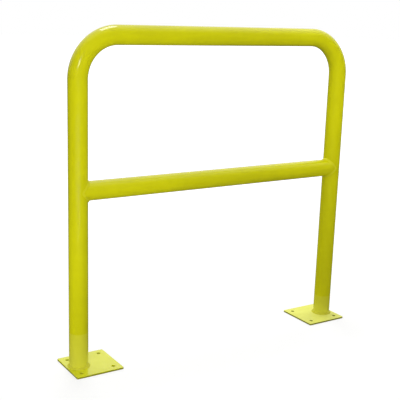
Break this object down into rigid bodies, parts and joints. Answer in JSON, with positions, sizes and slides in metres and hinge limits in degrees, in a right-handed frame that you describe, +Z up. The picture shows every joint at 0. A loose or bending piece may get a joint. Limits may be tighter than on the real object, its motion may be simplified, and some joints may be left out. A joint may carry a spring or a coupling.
{
  "type": "hoop guard rail",
  "caption": "Free-standing hoop guard rail of bent steel pipe with a mid rail and drilled base plates, powder coated yellow, to keep vehicles off people, racking or machines.",
  "frame": {"origin": "on the floor, midway between the two legs, under the middle of the rail", "axes": "+X along the rail towards the right leg, +Y across the rail, +Z up"},
  "size_m": [1.087, 0.16, 1.067],
  "materials": {
    "yellow_powder_coat": "glossy powder coat on steel pipe",
    "yellow_plate_coat": "glossy powder coat on steel plate",
    "yellow_weld_coat": "glossy powder coat over weld metal"
  },
  "bodies": {
    "root": {"hoop_pipe": "yellow_powder_coat", "mid_rail": "yellow_powder_coat", "left_base_plate": "yellow_plate_coat", "right_base_plate": "yellow_plate_coat", "left_foot_weld": "yellow_weld_coat", "right_foot_weld": "yellow_weld_coat", "left_mid_rail_weld": "yellow_weld_coat", "right_mid_rail_weld": "yellow_weld_coat"}
  },
  "joints": []
}
